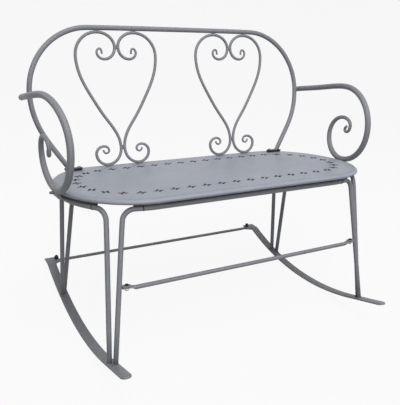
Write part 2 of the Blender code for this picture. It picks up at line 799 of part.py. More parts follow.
def arm_path(side):
    """The arm's middle line in space, and how many of its points come before the scroll."""
    steps = (1, 3, 3, 7, 7, 6, 5, 4, 3, 3, 2)
    knots = arm_knots()
    line = scroll_line([knot for knot, _ in knots], steps)
    lengths = line_lengths(line)
    marks = [lengths[sum(steps[:k])] for k in range(len(knots))]
    outs = [out for _, out in knots]
    path = []
    for point, length in zip(line, lengths):
        path.append(Vector((side * ease_between(marks, outs, length), -point.x, SEAT_TOP + point.y)))
    return path, sum(steps[:5])


def make_arms():
    for name, side in (("left_arm", -1), ("right_arm", 1)):
        path, scroll_start = arm_path(side)
        radii = tapered(path, ARM_RADIUS, ARM_TIP, 0, ARM_TAPER)
        add_object(name, sweep(path, radii, (side, 0, 0), 12, ARM_WALL, bore_to=scroll_start))


# Arm brackets
def arm_bolt_place(side):
    """The point of the rim's end where the stud of an arm bracket goes in."""
    angle = math.asin((ARM_BOLT_Y - SEAT_MID_Y) / SEAT_HALF_DEPTH)
    return oval(0, angle, side) + Vector((0, 0, SEAT_TOP - RIM_RADIUS - ARM_BOLT_DROP))


def arm_bolt_hole(side):
    return bore_cutter(arm_bolt_place(side) - Vector((side * 0.006, 0, 0)), (side, 0, 0), 0.016)


def make_arm_brackets():
    """A plate on the outside of the rim, under each arm, with a raised part for its bolt."""
    up = arm_rest()[1]
    inner = SEAT_HALF_WIDTH + GAP
    middle = SEAT_TOP - RIM_RADIUS
    top = SEAT_TOP + up - ARM_RADIUS - GAP
    low = middle - RIM_RADIUS * 1.3
    high = middle + RIM_RADIUS * 0.3
    front, rear = ARM_REST_Y - 0.006, ARM_BOLT_Y + 0.011
    outline = ((front, low), (front, top), (-0.020, top), (-0.007, high), (rear, high), (rear, low))
    for name, side in (("left_arm_bracket", -1), ("right_arm_bracket", 1)):
        bm = bmesh.new()
        rings = []
        for x in (inner, inner + BRACKET_THICK):
            rings.append([bm.verts.new((side * x, y, z)) for y, z in outline])
        join_rings(bm, *rings)
        bm.faces.new(rings[0])
        bm.faces.new(rings[1])
        bracket = add_object(name, bm)
        cut(bracket, arm_bolt_hole(side))


# Foot plates and fasteners
def foot_x():
    return hoop_half()[-1].x


def plate_screw_place(side):
    return Vector((side * (foot_x() - PLATE_IN + PLATE_WIDTH / 2), HOOP_FOOT_Y, SEAT_TOP))


def add_foot_plate(name, side, base, thick, trim, colour):
    """A plate under a foot of the hoop: square outside, round inside, with a screw hole."""
    half = PLATE_WIDTH / 2 - trim
    screw = plate_screw_place(side)
    outline = [(foot_x() + PLATE_OUT - trim, half), (foot_x() + PLATE_OUT - trim, -half)]
    for i in range(7):
        angle = math.radians(-90 - 30 * i)
        outline.append((abs(screw.x) + half * math.cos(angle), half * math.sin(angle)))
    bm = bmesh.new()
    rings = []
    for z in (base, base + thick):
        rings.append([bm.verts.new((side * x, HOOP_FOOT_Y + y, z)) for x, y in outline])
    join_rings(bm, *rings)
    bm.faces.new(rings[0])
    bm.faces.new(rings[1])
    plate = add_object(name, bm, colour)
    cut(plate, bore_cutter(screw - Vector((0, 0, 0.006)), (0, 0, 1), 0.030))


def make_foot_plates():
    for hand, side in (("left", -1), ("right", 1)):
        base = SEAT_TOP + GAP
        add_foot_plate(f"{hand}_hoop_foot_pad", side, base, PAD_THICK, 0.0015, BLACK)
        add_foot_plate(f"{hand}_hoop_foot_plate", side, base + PAD_THICK + GAP, PLATE_THICK, 0.0, PAINT)


def screw_profile(head_radius, head, length):
    """A round-headed screw: its head stands up from 0, its shank reaches down."""
    return [
        (0, -length),
        (BOLT_RADIUS, -length),
        (BOLT_RADIUS, 0),
        (head_radius, 0),
        (head_radius, head * 0.5),
        (head_radius * 0.6, head),
        (0, head),
    ]


def nut_profile(outer, height, domed):
    """A nut that stands on 0, open right through or with a dome over the bolt's end."""
    bore = BOLT_RADIUS + BOLT_CLEAR
    if not domed:
        return [(bore, 0), (outer, 0), (outer, height), (bore, height)]
    return [
        (bore, 0),
        (outer, 0),
        (outer, height * 0.5),
        (outer * 0.85, height * 0.78),
        (outer * 0.45, height),
        (0, height),
        (0, height * 0.6),
        (bore, height * 0.6),
    ]


def make_fasteners():
    for hand, side in (("left", -1), ("right", 1)):
        place = plate_screw_place(side)
        stack = PAD_THICK + PLATE_THICK + 3 * GAP
        head = place + Vector((0, 0, stack))
        bm = lathe(screw_profile(0.0065, 0.004, stack + SHEET + 0.0065), head, (0, 0, 1), 12)
        add_object(f"{hand}_hoop_foot_screw", bm, PAINT, 0.0, 0.45)
        bm = lathe(nut_profile(0.0055, 0.005, False), place - Vector((0, 0, SHEET + GAP)), (0, 0, -1), 6)
        add_object(f"{hand}_hoop_foot_nut", bm, ZINC, 1.0, 0.35)

        place = arm_bolt_place(side)
        outside = Vector((side * (SEAT_HALF_WIDTH + BRACKET_THICK + 2 * GAP), place.y, place.z))
        bm = lathe(screw_profile(0.0048, 0.012, BRACKET_THICK + 2 * SHEET), outside, (side, 0, 0), 12)
        add_object(f"{hand}_arm_bracket_stud", bm, PAINT, 0.0, 0.45)

        place = lug_bolt_place(side)
        above = place + Vector((0, 0, LUG_THICK + 2 * GAP))
        stack = LUG_THICK + 2 * STRETCHER_FLAT + 2 * GAP
        bm = lathe(screw_profile(0.0055, 0.0040, stack + 0.006), above, (0, 0, 1), 12)
        add_object(f"{hand}_front_stretcher_bolt", bm, BLACK, 0.8, 0.4)
        under = place - Vector((0, 0, 2 * STRETCHER_FLAT + GAP))
        bm = lathe(nut_profile(0.0055, 0.005, False), under, (0, 0, -1), 6)
        add_object(f"{hand}_front_stretcher_nut", bm, ZINC, 1.0, 0.35)

        top, normal = tab_frame(side)
        stack = RUNNER_THICK + 2 * STRETCHER_FLAT + 2 * GAP
        bm = lathe(screw_profile(0.0065, 0.004, stack + 0.006), top - normal * stack, -normal, 12)
        add_object(f"{hand}_rear_stretcher_bolt", bm, ZINC, 1.0, 0.35)
        bm = lathe(nut_profile(0.0070, 0.0135, True), top + normal * GAP, normal, 12)
        add_object(f"{hand}_rear_stretcher_dome_nut", bm, BLACK, 0.6, 0.4)


def lean_to_rest():
    """Rolls the bench back on its runners and puts the origin on the floor, under the middle of its box."""
    centre = Vector((0, RUNNER_MID_Y, RUNNER_RADIUS))
    roll = Matrix.Rotation(-REST_LEAN, 4, "X")
    turn = Matrix.Translation(centre) @ roll @ Matrix.Translation(-centre)
    meshes = [obj.data for obj in bpy.context.scene.objects]
    for mesh in meshes:
        mesh.transform(turn)
    depths = [v.co.y for mesh in meshes for v in mesh.vertices]
    lowest = min(v.co.z for mesh in meshes for v in mesh.vertices)
    shift = Matrix.Translation((0, -(min(depths) + max(depths)) / 2, -lowest))
    for mesh in meshes:
        mesh.transform(shift)


def main():
    for obj in list(bpy.data.objects):
        bpy.data.objects.remove(obj)
    make_seat()
    make_rails()
    make_legs()
    make_runners()
    make_lugs()
    make_stretchers()
    make_hoop()
    make_hearts()
    make_arms()
    make_arm_brackets()
    make_foot_plates()
    make_fasteners()
    lean_to_rest()


main()
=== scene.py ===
"""Looks of the rocking garden bench: painted tubes, pressed seat, welds, floor, light and camera."""

import math

import bpy
from mathutils import Matrix, Vector


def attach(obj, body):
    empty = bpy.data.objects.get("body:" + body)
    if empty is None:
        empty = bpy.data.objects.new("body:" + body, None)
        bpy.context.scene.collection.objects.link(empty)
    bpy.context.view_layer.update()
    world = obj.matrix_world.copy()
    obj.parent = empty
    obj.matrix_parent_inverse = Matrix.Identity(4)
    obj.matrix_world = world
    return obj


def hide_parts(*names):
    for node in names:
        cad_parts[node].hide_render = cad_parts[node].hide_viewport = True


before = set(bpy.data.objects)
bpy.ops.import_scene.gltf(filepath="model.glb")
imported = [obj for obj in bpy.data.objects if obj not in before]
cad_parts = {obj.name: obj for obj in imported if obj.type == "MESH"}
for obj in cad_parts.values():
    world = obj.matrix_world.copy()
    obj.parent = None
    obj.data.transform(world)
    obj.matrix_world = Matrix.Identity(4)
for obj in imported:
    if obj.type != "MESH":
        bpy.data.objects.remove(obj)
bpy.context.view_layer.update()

HANDS = ("left", "right")
SIDES = (("left", -1), ("right", 1))
ENDS = ("front", "rear")

# The bench leans back on its runners by this much, about the middle of their bow
REST_LEAN = math.radians(8.35)
RUNNER_RADIUS = 0.890
RUNNER_MID_Y = -0.025
FLOOR_CONTACT_Y = 0.0521
LEANING = (
    Matrix.Translation((0, FLOOR_CONTACT_Y, RUNNER_RADIUS))
    @ Matrix.Rotation(-REST_LEAN, 4, "X")
    @ Matrix.Translation((0, -RUNNER_MID_Y, -RUNNER_RADIUS))
)

# Seat sizes, as drawn with the seat level
SEAT_TOP = 0.4705
SEAT_HALF_WIDTH = 0.502
SEAT_HALF_DEPTH = 0.256
SEAT_FRONT_STRAIGHT = 0.300
SEAT_BACK_STRAIGHT = 0.330
SEAT_MID_Y = -0.004
SHEET = 0.002
DRAWN_RIM_DEPTH = 0.021
RIM_DEPTH = 0.0145
BELOW_SHEET = 0.0002
CREASE_INSET, CREASE_DEPTH, CREASE_RADIUS = 0.0125, 0.0003, 0.0007
CREASE_POINTS = 128

# Pierced rosettes, the part of the seat in which they lie, and the painted shade inside and round their
# petals
ROSETTE_COUNT = 44
ROSETTE_HALF_WIDTH = 0.4365
ROSETTE_HALF_DEPTH = 0.1725
ROSETTE_STRAIGHT = 0.300
ROSETTE_STEPS = 24
PETAL_START, PETAL_LENGTH, PETAL_WIDTH = 0.003, 0.011, 0.0065
PETAL_RIM_LONGER, PETAL_RIM_WIDER = 0.0030, 0.0020
PETAL_RIM_WIDTH, PETAL_RIM_THICKNESS, PETAL_RIM_LIFT = 0.0009, 0.0005, 0.0001
PIERCED_HALF_WIDTH, PIERCED_HALF_DEPTH, PIERCED_DROP = 0.47, 0.20, 0.0025
UPRIGHT_FACE = 0.3

# Rails under the rim: inset from the seat's outline, and angles of their ends on its oval
RAIL_Z = 0.4422
TUBE_RADIUS = 0.007
FRONT_RAIL_INSET, FRONT_RAIL_ANGLE = 0.028, 78.4
REAR_RAIL_INSET, REAR_RAIL_ANGLE = 0.034, 74.0
SIDE_RAIL_INSET, SIDE_FRONT_ANGLE, SIDE_REAR_ANGLE = 0.016, 38.5, 37.5
NEARLY_MIDDLE = 89.9
RAIL_STEPS = 8
ANGLE_NUDGE = 0.001

# Packing strips between the rim and the rails: section, and how far they run past a rail's ends
PACKING_WIDTH, PACKING_EDGE, PACKING_SQUEEZE = 0.008, 0.0008, 0.0004
FRONT_PACKING_PAST, REAR_PACKING_PAST = 0.026, 0.007
SIDE_PACKING_PAST_FRONT, SIDE_PACKING_PAST_REAR = 0.016, 0.010

# Backrest and arms, where they are welded. Heights are above the seat's top
BACK_FOOT_Y, BACK_TOP_Y, BACK_HEIGHT = 0.222, 0.262, 0.4405
HEART_MID_X = 0.2134
SCROLL_FOOT_OUT, SCROLL_FOOT_UP = 0.0533, 0.0010
SCROLL_CROWN_OUT, SCROLL_CROWN_DROP, SCROLL_CROWN_FORWARD = 0.0629, 0.0085, 0.0008
HEART_WELD_HEIGHTS = (("low", 0.0594), ("high", 0.3812))
ARM_JOIN_X, ARM_JOIN_Y, ARM_JOIN_UP = 0.5118, 0.2357, 0.2335

# Weld sizes, and the seeds that make them uneven
FOOT_WELD_RADIUS, FOOT_WELD_BEAD, FOOT_WELD_LIFT = 0.0074, 0.0018, 0.0008
FOOT_RING_POINTS = 16
SEAM_RADIUS, SEAM_BEAD, SEAM_SEED = 0.0071, 0.0012, 31
SCROLL_FOOT_WELD, SCROLL_FOOT_SEED = (0.008, 0.0042, 0.0024), 21
SCROLL_CROWN_WELD, SCROLL_CROWN_SEED = (0.007, 0.0036, 0.0026), 22
HEART_WELD, HEART_SEED = (0.0022, 0.0034, 0.0075), 23
ARM_JOIN_WELD, ARM_JOIN_SEED = (0.0034, 0.0085, 0.0085), 24

# Rounding: what a tube's radius gets back after its facets are smoothed away, and angles
ROUNDING_LEVELS = 2
HOOP_REGAIN, ARM_REGAIN, HEART_REGAIN, TUBE_REGAIN = 0.00036, 0.00040, 0.00070, 0.00068
SAME_POINT = 0.00001
TUBE_END_ANGLE = math.radians(62)
TUBE_SMOOTH_ANGLE = math.radians(50)
PLATE_ANGLE = math.radians(38)
SHEET_SMOOTH_ANGLE = math.radians(40)
PACKING_ANGLE = math.radians(50)

# Widths of broken edges
RUNNER_EDGE, FOOT_PLATE_EDGE, PLATE_EDGE = 0.0009, 0.0008, 0.0006
PAD_EDGE, SCREW_EDGE = 0.0005, 0.0004

# Finishes: noise scales are in features per metre
NOISE_LOW, NOISE_HIGH = 0.3, 0.7
DARKER, LIGHTER, DULLER = 0.95, 1.05, 0.75
PAINT_SPECULAR = 0.25
PAINT_DRIFT, PAINT_GLOSS, PAINT_PEEL = 9, 85, 1400
SEAT_PEEL, WELD_PEEL = 1100, 700
STEEL_PATCHES, STEEL_GLOSS, STEEL_MARKS = 240, 420, 2600
RUBBER_PATCHES, RUBBER_GLOSS, RUBBER_GRAIN = 320, 600, 1900

# Light, floor and backdrop. A softbox: name, place, aim, width, height, watts, beam in degrees
SOFTBOXES = (
    ("key_softbox", (-1.3, -2.5, 3.0), (0, 0, 0.45), 1.6, 1.6, 40, 180),
    ("front_softbox", (-1.0, -3.5, 0.95), (0, 0, 0.40), 1.2, 0.9, 8, 75),
    ("fill_softbox", (3.0, -0.6, 1.9), (0, 0, 0.45), 1.6, 1.6, 16, 180),
    ("back_softbox", (-2.4, 2.4, 2.4), (0, 0, 0.45), 1.6, 1.6, 22, 180),
    ("top_softbox", (0.0, -0.9, 3.4), (0, 0, 0.4), 2.4, 2.4, 76, 180),
)
BACKDROP = (0.922, 0.922, 0.922, 1)
ROOM_COLOUR, ROOM_STRENGTH = (0.94, 0.97, 1.0, 1), 0.09
FLOOR_SIZE = 40
FLOOR_BOUNCE = (0.12, 0.12, 0.12, 1)
FLOOR_PALE = (0.93, 0.93, 0.93, 1)
FLOOR_GLOW, FLOOR_GLOW_SHARE = (0.96, 0.96, 0.96, 1), 0.96

# The photograph's camera, solved for a level seat
CAMERA_YAW, CAMERA_PITCH = math.radians(-28.77), math.radians(14.55)
CAMERA_PLACE = (-0.8544, -1.4744, 0.8060)
CAMERA_LENS, CAMERA_SENSOR = 48.87, 36


# Finishes
def new_finish(name):
    finish = bpy.data.materials.new(name)
    finish.use_nodes = True
    tree = finish.node_tree
    return finish, tree, tree.nodes["Principled BSDF"]


def noise(tree, scale, detail):
    """Noise over the piece's own coordinates."""
    place = tree.nodes.new("ShaderNodeTexCoord")
    texture = tree.nodes.new("ShaderNodeTexNoise")
    texture.inputs["Scale"].default_value = scale
    texture.inputs["Detail"].default_value = detail
    tree.links.new(place.outputs["Object"], texture.inputs["Vector"])
    return texture.outputs["Fac"]


def shade_between(tree, source, dark, light):
    """Spreads a noise over two colours."""
    ramp = tree.nodes.new("ShaderNodeValToRGB")
    ramp.color_ramp.elements[0].position = NOISE_LOW
    ramp.color_ramp.elements[0].color = (*dark, 1)
    ramp.color_ramp.elements[1].position = NOISE_HIGH
    ramp.color_ramp.elements[1].color = (*light, 1)
    tree.links.new(source, ramp.inputs["Fac"])
    return ramp.outputs["Color"]


def spread(tree, source, low, high):
    """Spreads a noise over a range of values."""
    span = tree.nodes.new("ShaderNodeMapRange")
    span.inputs["From Min"].default_value = NOISE_LOW
    span.inputs["From Max"].default_value = NOISE_HIGH
    span.inputs["To Min"].default_value = low
    span.inputs["To Max"].default_value = high
    tree.links.new(source, span.inputs["Value"])
    return span.outputs["Result"]


def relief(tree, shader, source, strength, height):
    bump = tree.nodes.new("ShaderNodeBump")
    bump.inputs["Strength"].default_value = strength
    bump.inputs["Distance"].default_value = height
    tree.links.new(source, bump.inputs["Height"])
    tree.links.new(bump.outputs["Normal"], shader.inputs["Normal"])


def powder_coat(name, colour, rough_low, rough_high, peel=PAINT_PEEL):
    """Baked powder paint: a fine orange-peel skin, with faint drifts of tone and gloss."""
    finish, tree, shader = new_finish(name)
    dark = [c * DARKER for c in colour]
    light = [c * LIGHTER for c in colour]
    tone = shade_between(tree, noise(tree, PAINT_DRIFT, 3), dark, light)
    tree.links.new(tone, shader.inputs["Base Color"])
    gloss = spread(tree, noise(tree, PAINT_GLOSS, 3), rough_low, rough_high)
    tree.links.new(gloss, shader.inputs["Roughness"])
    relief(tree, shader, noise(tree, peel, 2), strength=0.02, height=0.0003)
    shader.inputs["Specular IOR Level"].default_value = PAINT_SPECULAR
    return finish


def plated_steel(name, colour, rough_low, rough_high):
    """Plated fasteners: bare metal with fine turning marks and dull patches."""
    finish, tree, shader = new_finish(name)
    dull = [c * DULLER for c in colour]
    tone = shade_between(tree, noise(tree, STEEL_PATCHES, 4), dull, colour)
    tree.links.new(tone, shader.inputs["Base Color"])
    gloss = spread(tree, noise(tree, STEEL_GLOSS, 3), rough_low, rough_high)
    tree.links.new(gloss, shader.inputs["Roughness"])
    relief(tree, shader, noise(tree, STEEL_MARKS, 2), strength=0.15, height=0.0002)
    shader.inputs["Metallic"].default_value = 1.0
    return finish


def black_rubber(name, dark, light, rough_low, rough_high):
    """Moulded rubber: dull, slightly grained and a little uneven in tone."""
    finish, tree, shader = new_finish(name)
    tone = shade_between(tree, noise(tree, RUBBER_PATCHES, 4), dark, light)
    tree.links.new(tone, shader.inputs["Base Color"])
    gloss = spread(tree, noise(tree, RUBBER_GLOSS, 2), rough_low, rough_high)
    tree.links.new(gloss, shader.inputs["Roughness"])
    relief(tree, shader, noise(tree, RUBBER_GRAIN, 2), strength=0.3, height=0.0003)
    return finish


FRAME_PAINT = powder_coat("frame_paint", (0.205, 0.209, 0.224), 0.40, 0.50)
# The seat's paint is the frame's paint made lighter and bluer: painted light from above and painted
# reflection on the up-facing seat.
LIT_SEAT_PAINT = powder_coat("lit_seat_paint", (0.272, 0.289, 0.338), 0.36, 0.44, SEAT_PEEL)
# Weld paint, a little darker than the frame. On the seat's crease, its darkness against the seat is
# painted shade.
WELD_AND_CREASE_SHADE_PAINT = powder_coat("weld_and_crease_shade_paint", (0.195, 0.198, 0.210), 0.40, 0.52, WELD_PEEL)
BLACK_PAINT = powder_coat("black_paint", (0.022, 0.022, 0.024), 0.36, 0.50)
# Near-black paint: painted shade on the petal walls and on the thin rims round the petals. On the rail
# seams it is their real dark joint.
PETAL_SHADE_AND_SEAM = powder_coat("petal_shade_and_seam_paint", (0.014, 0.014, 0.017), 0.55, 0.70)
BLACK_STEEL = plated_steel("black_steel", (0.030, 0.030, 0.032), 0.38, 0.55)
ZINC_STEEL = plated_steel("zinc_steel", (0.42, 0.42, 0.43), 0.28, 0.45)
# Black rubber for the foot pads and the packing strips. Its black is partly painted shade for the gaps
# they sit in.
SHADE_BLACK_RUBBER = black_rubber("shade_black_rubber", (0.010, 0.010, 0.010), (0.020, 0.020, 0.020), 0.62, 0.80)


# Shaping helpers
def pick(obj):
    bpy.ops.object.select_all(action="DESELECT")
    obj.select_set(True)
    bpy.context.view_layer.objects.active = obj


def open_all():
    """Opens the active piece for editing, with all of it selected."""
    bpy.ops.object.mode_set(mode="EDIT")
    bpy.ops.mesh.select_all(action="SELECT")


def close_up():
    bpy.ops.object.mode_set(mode="OBJECT")


def settle():
    """Puts the active piece's place, turn and size into its mesh."""
    bpy.ops.object.transform_apply(location=True, rotation=True, scale=True)


def apply_modifier(obj, kind, **settings):
    pick(obj)
    modifier = obj.modifiers.new("shaping", kind)
    for key, value in settings.items():
        setattr(modifier, key, value)
    bpy.ops.object.modifier_apply(modifier="shaping")


def copy_of(node):
    """A joined-up copy of a node, to be finished further."""
    obj = bpy.data.objects.new(node + "_finished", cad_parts[node].data.copy())
    bpy.context.scene.collection.objects.link(obj)
    pick(obj)
    open_all()
    bpy.ops.mesh.remove_doubles(threshold=SAME_POINT)
    bpy.ops.mesh.tris_convert_to_quads(face_threshold=0.7, shape_threshold=3.1)
    close_up()
    return obj


def hand_over(obj, finish, node=None):
    """Gives a piece its finish and its place on the bench."""
    obj.data.materials.clear()
    obj.data.materials.append(finish)
    if node:
        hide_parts(node)
    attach(obj, "root")


def lean_in(obj):
    """Moves a piece drawn for a level seat onto the leaning bench, with its place in its mesh."""
    bpy.context.view_layer.update()
    obj.matrix_world = LEANING @ obj.matrix_world
    pick(obj)
    settle()


def round_out(node, regain):
    """A tube or rod with a truly round section and smooth bends, its thickness given back."""
    obj = copy_of(node)
    bpy.ops.object.mode_set(mode="EDIT")
    bpy.ops.mesh.select_mode(type="EDGE")
    bpy.ops.mesh.select_all(action="DESELECT")
    bpy.ops.mesh.edges_select_sharp(sharpness=TUBE_END_ANGLE)
    bpy.ops.transform.edge_crease(value=1.0)
    close_up()
    apply_modifier(obj, "SUBSURF", levels=ROUNDING_LEVELS, render_levels=ROUNDING_LEVELS)
    open_all()
    bpy.ops.transform.shrink_fatten(value=regain)
    close_up()
    bpy.ops.object.shade_smooth_by_angle(angle=TUBE_SMOOTH_ANGLE)
    hand_over(obj, FRAME_PAINT, node)


def ease_edges(node, width, finish):
    """A plate, bar or fastener with its sharp edges broken."""
    obj = copy_of(node)
    apply_modifier(
        obj,
        "BEVEL",
        width=width,
        segments=2,
        limit_method="ANGLE",
        angle_limit=PLATE_ANGLE,
        use_clamp_overlap=True,
    )
    bpy.ops.object.shade_smooth_by_angle(angle=PLATE_ANGLE)
    hand_over(obj, finish, node)


def smooth_over(node):
    """A bar with pressed ends, left in shape and shaded smooth."""
    obj = copy_of(node)
    bpy.ops.object.shade_smooth_by_angle(angle=SHEET_SMOOTH_ANGLE)
    hand_over(obj, FRAME_PAINT, node)


# The bench's own nodes
def dress_frame():
    round_out("backrest_hoop", HOOP_REGAIN)
    for hand in HANDS:
        round_out(f"{hand}_arm", ARM_REGAIN)
        round_out(f"{hand}_heart_inner_scroll", HEART_REGAIN)
        round_out(f"{hand}_heart_outer_scroll", HEART_REGAIN)
        round_out(f"{hand}_side_rail", TUBE_REGAIN)
        for end in ENDS:
            round_out(f"{end}_{hand}_leg_inner_tube", TUBE_REGAIN)
            round_out(f"{end}_{hand}_leg_side_tube", TUBE_REGAIN)
        ease_edges(f"{hand}_rocker", RUNNER_EDGE, FRAME_PAINT)
        ease_edges(f"{hand}_stretcher_lug", PLATE_EDGE, FRAME_PAINT)
        ease_edges(f"{hand}_arm_bracket", PLATE_EDGE, FRAME_PAINT)
        ease_edges(f"{hand}_hoop_foot_plate", FOOT_PLATE_EDGE, BLACK_PAINT)
    for end in ENDS:
        round_out(f"{end}_rail", TUBE_REGAIN)
        smooth_over(f"{end}_stretcher")


def slim_rim(obj):
    """Rolls the rim up tighter than it is drawn, which leaves room for the packing strips."""
    obj.matrix_world = LEANING.inverted()
    settle()
    bpy.ops.object.mode_set(mode="EDIT")
    bpy.ops.mesh.select_mode(type="VERT")
    bpy.ops.mesh.select_all(action="DESELECT")
    close_up()
    for vert in obj.data.vertices:
        vert.select = vert.co.z < SEAT_TOP - SHEET - BELOW_SHEET
    bpy.ops.object.mode_set(mode="EDIT")
    tighter = (RIM_DEPTH - SHEET) / (DRAWN_RIM_DEPTH - SHEET)
    bpy.ops.transform.resize(value=(1, 1, tighter), center_override=(0, 0, SEAT_TOP - SHEET))
    close_up()
    lean_in(obj)


def dress_seat():
    """The pressed panel, with painted shade on the walls inside the pierced petals."""
    obj = copy_of("seat_panel")
    slim_rim(obj)
    bpy.ops.object.shade_smooth_by_angle(angle=SHEET_SMOOTH_ANGLE)
    apply_modifier(obj, "WEIGHTED_NORMAL", keep_sharp=True, weight=100)
    hand_over(obj, LIT_SEAT_PAINT, "seat_panel")
    obj.data.materials.append(PETAL_SHADE_AND_SEAM)
    upward = LEANING.to_3x3() @ Vector((0, 0, 1))
    level = LEANING.inverted()
    # Upright faces of the petal holes get the near-black paint: painted shade inside the holes.
    for face in obj.data.polygons:
        place = level @ face.center
        across, deep = abs(place.x), abs(place.y - SEAT_MID_Y)
        inside = across < PIERCED_HALF_WIDTH and deep < PIERCED_HALF_DEPTH
        upright = abs(face.normal.dot(upward)) < UPRIGHT_FACE
        if inside and upright and place.z > SEAT_TOP - PIERCED_DROP:
            face.material_index = 1


def dress_fasteners():
    for hand in HANDS:
        ease_edges(f"{hand}_hoop_foot_screw", SCREW_EDGE, FRAME_PAINT)
        ease_edges(f"{hand}_arm_bracket_stud", PAD_EDGE, FRAME_PAINT)
        # The foot pads' black is partly painted shade under the raised foot plates.
        ease_edges(f"{hand}_hoop_foot_pad", PAD_EDGE, SHADE_BLACK_RUBBER)
        ease_edges(f"{hand}_front_stretcher_bolt", SCREW_EDGE, BLACK_STEEL)
        ease_edges(f"{hand}_rear_stretcher_dome_nut", PAD_EDGE, BLACK_STEEL)
        for name in ("hoop_foot_nut", "front_stretcher_nut", "rear_stretcher_bolt"):
            ease_edges(f"{hand}_{name}", SCREW_EDGE, ZINC_STEEL)


# Welds and seams
def oval_point(inset, angle, side):
    """A point of the seat's outline, drawn in by inset. The angle is 0 at the seat's end."""
    straight = SEAT_FRONT_STRAIGHT if angle < 0 else SEAT_BACK_STRAIGHT
    across = straight + (SEAT_HALF_WIDTH - straight - inset) * math.cos(angle)
    return Vector((side * across, SEAT_MID_Y + (SEAT_HALF_DEPTH - inset) * math.sin(angle), 0))


def weld_ring(name, place, axis, radius, bead, seed):
    """A lumpy bead around a tube, drawn where it belongs on the leaning bench."""
    bpy.ops.object.select_all(action="DESELECT")
    bpy.ops.mesh.primitive_torus_add(
        major_radius=radius, minor_radius=bead, major_segments=36, minor_segments=8
    )
    obj = bpy.context.object
    obj.name = name
    open_all()
    bpy.ops.transform.vertex_random(offset=bead * 0.28, uniform=0.3, normal=0.7, seed=seed)
    bpy.ops.mesh.vertices_smooth(factor=0.4)
    close_up()
    apply_modifier(obj, "SUBSURF", levels=1, render_levels=1)
    bpy.ops.object.shade_smooth()
    turn = Vector(axis).to_track_quat("Z", "Y").to_matrix().to_4x4()
    obj.matrix_world = Matrix.Translation(place) @ turn
    pick(obj)
    settle()
    return obj


def weld_spot(name, place, size, seed):
    """A small puddle of weld where two rods touch, drawn for a level seat."""
    bpy.ops.object.select_all(action="DESELECT")
    bpy.ops.mesh.primitive_ico_sphere_add(subdivisions=3, radius=1.0)
    obj = bpy.context.object
    obj.name = name
    obj.scale = size
    bpy.ops.object.transform_apply(scale=True)
    open_all()
    unevenness = min(size) * 0.16
    bpy.ops.transform.vertex_random(offset=unevenness, uniform=0.2, normal=0.8, seed=seed)
    bpy.ops.mesh.vertices_smooth(factor=0.5)
    close_up()
    bpy.ops.object.shade_smooth()
    obj.location = place
    lean_in(obj)
    hand_over(obj, WELD_AND_CREASE_SHADE_PAINT)


def foot_of(node):
    """The middle of a leg tube's lowest end, and the way the tube goes up from there."""
    points = {tuple(round(c, 5) for c in v.co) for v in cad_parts[node].data.vertices}
    points = sorted((Vector(p) for p in points), key=lambda p: p.z)
    count = FOOT_RING_POINTS
    low = sum(points[:count], Vector()) / count
    next_up = sum(points[count:2 * count], Vector()) / count
    return low, (next_up - low).normalized()


def add_leg_welds():
    seed = 1
    for end in ENDS:
        for hand in HANDS:
            for kind in ("inner", "side"):
                low, upward = foot_of(f"{end}_{hand}_leg_{kind}_tube")
                name = f"{end}_{hand}_{kind}_foot_weld"
                place = low + upward * FOOT_WELD_LIFT
                weld = weld_ring(name, place, upward, FOOT_WELD_RADIUS, FOOT_WELD_BEAD, seed)
                hand_over(weld, WELD_AND_CREASE_SHADE_PAINT)
                seed += 1


def add_back_welds():
    """Spots where the scrolls meet the seat, the hoop and each other, and the arms the hoop."""
    for hand, side in SIDES:
        for part, out in (("outer", 1), ("inner", -1)):
            scroll = f"{hand}_{part}_scroll"
            foot_x = side * (HEART_MID_X + out * SCROLL_FOOT_OUT)
            foot = (foot_x, BACK_FOOT_Y, SEAT_TOP + SCROLL_FOOT_UP)
            weld_spot(f"{scroll}_foot_weld", foot, SCROLL_FOOT_WELD, SCROLL_FOOT_SEED)
            crown_x = side * (HEART_MID_X + out * SCROLL_CROWN_OUT)
            crown_z = SEAT_TOP + BACK_HEIGHT - SCROLL_CROWN_DROP
            crown = (crown_x, BACK_TOP_Y - SCROLL_CROWN_FORWARD, crown_z)
            weld_spot(f"{scroll}_crown_weld", crown, SCROLL_CROWN_WELD, SCROLL_CROWN_SEED)
        for place, up in HEART_WELD_HEIGHTS:
            leaning_y = BACK_FOOT_Y + (BACK_TOP_Y - BACK_FOOT_Y) * up / BACK_HEIGHT
            spot = (side * HEART_MID_X, leaning_y, SEAT_TOP + up)
            weld_spot(f"{hand}_heart_{place}_weld", spot, HEART_WELD, HEART_SEED)
        join = (side * ARM_JOIN_X, ARM_JOIN_Y, SEAT_TOP + ARM_JOIN_UP)
        weld_spot(f"{hand}_arm_join_weld", join, ARM_JOIN_WELD, ARM_JOIN_SEED)


def add_joint_lines():
    """The dark seam where a leg tube is pushed into the end of its rail."""
    rails = (
        ("front", FRONT_RAIL_INSET, -FRONT_RAIL_ANGLE),
        ("rear", REAR_RAIL_INSET, REAR_RAIL_ANGLE),
        ("side_front", SIDE_RAIL_INSET, -SIDE_FRONT_ANGLE),
        ("side_rear", SIDE_RAIL_INSET, SIDE_REAR_ANGLE),
    )
    for place, inset, degrees in rails:
        angle = math.radians(degrees)
        for hand, side in SIDES:
            middle = LEANING @ (oval_point(inset, angle, side) + Vector((0, 0, RAIL_Z)))
            ahead = oval_point(inset, angle + ANGLE_NUDGE, side)
            along = LEANING.to_3x3() @ (ahead - oval_point(inset, angle - ANGLE_NUDGE, side))
            name = f"{hand}_{place}_rail_seam"
            seam = weld_ring(name, middle, along, SEAM_RADIUS, SEAM_BEAD, SEAM_SEED)
            hand_over(seam, PETAL_SHADE_AND_SEAM)


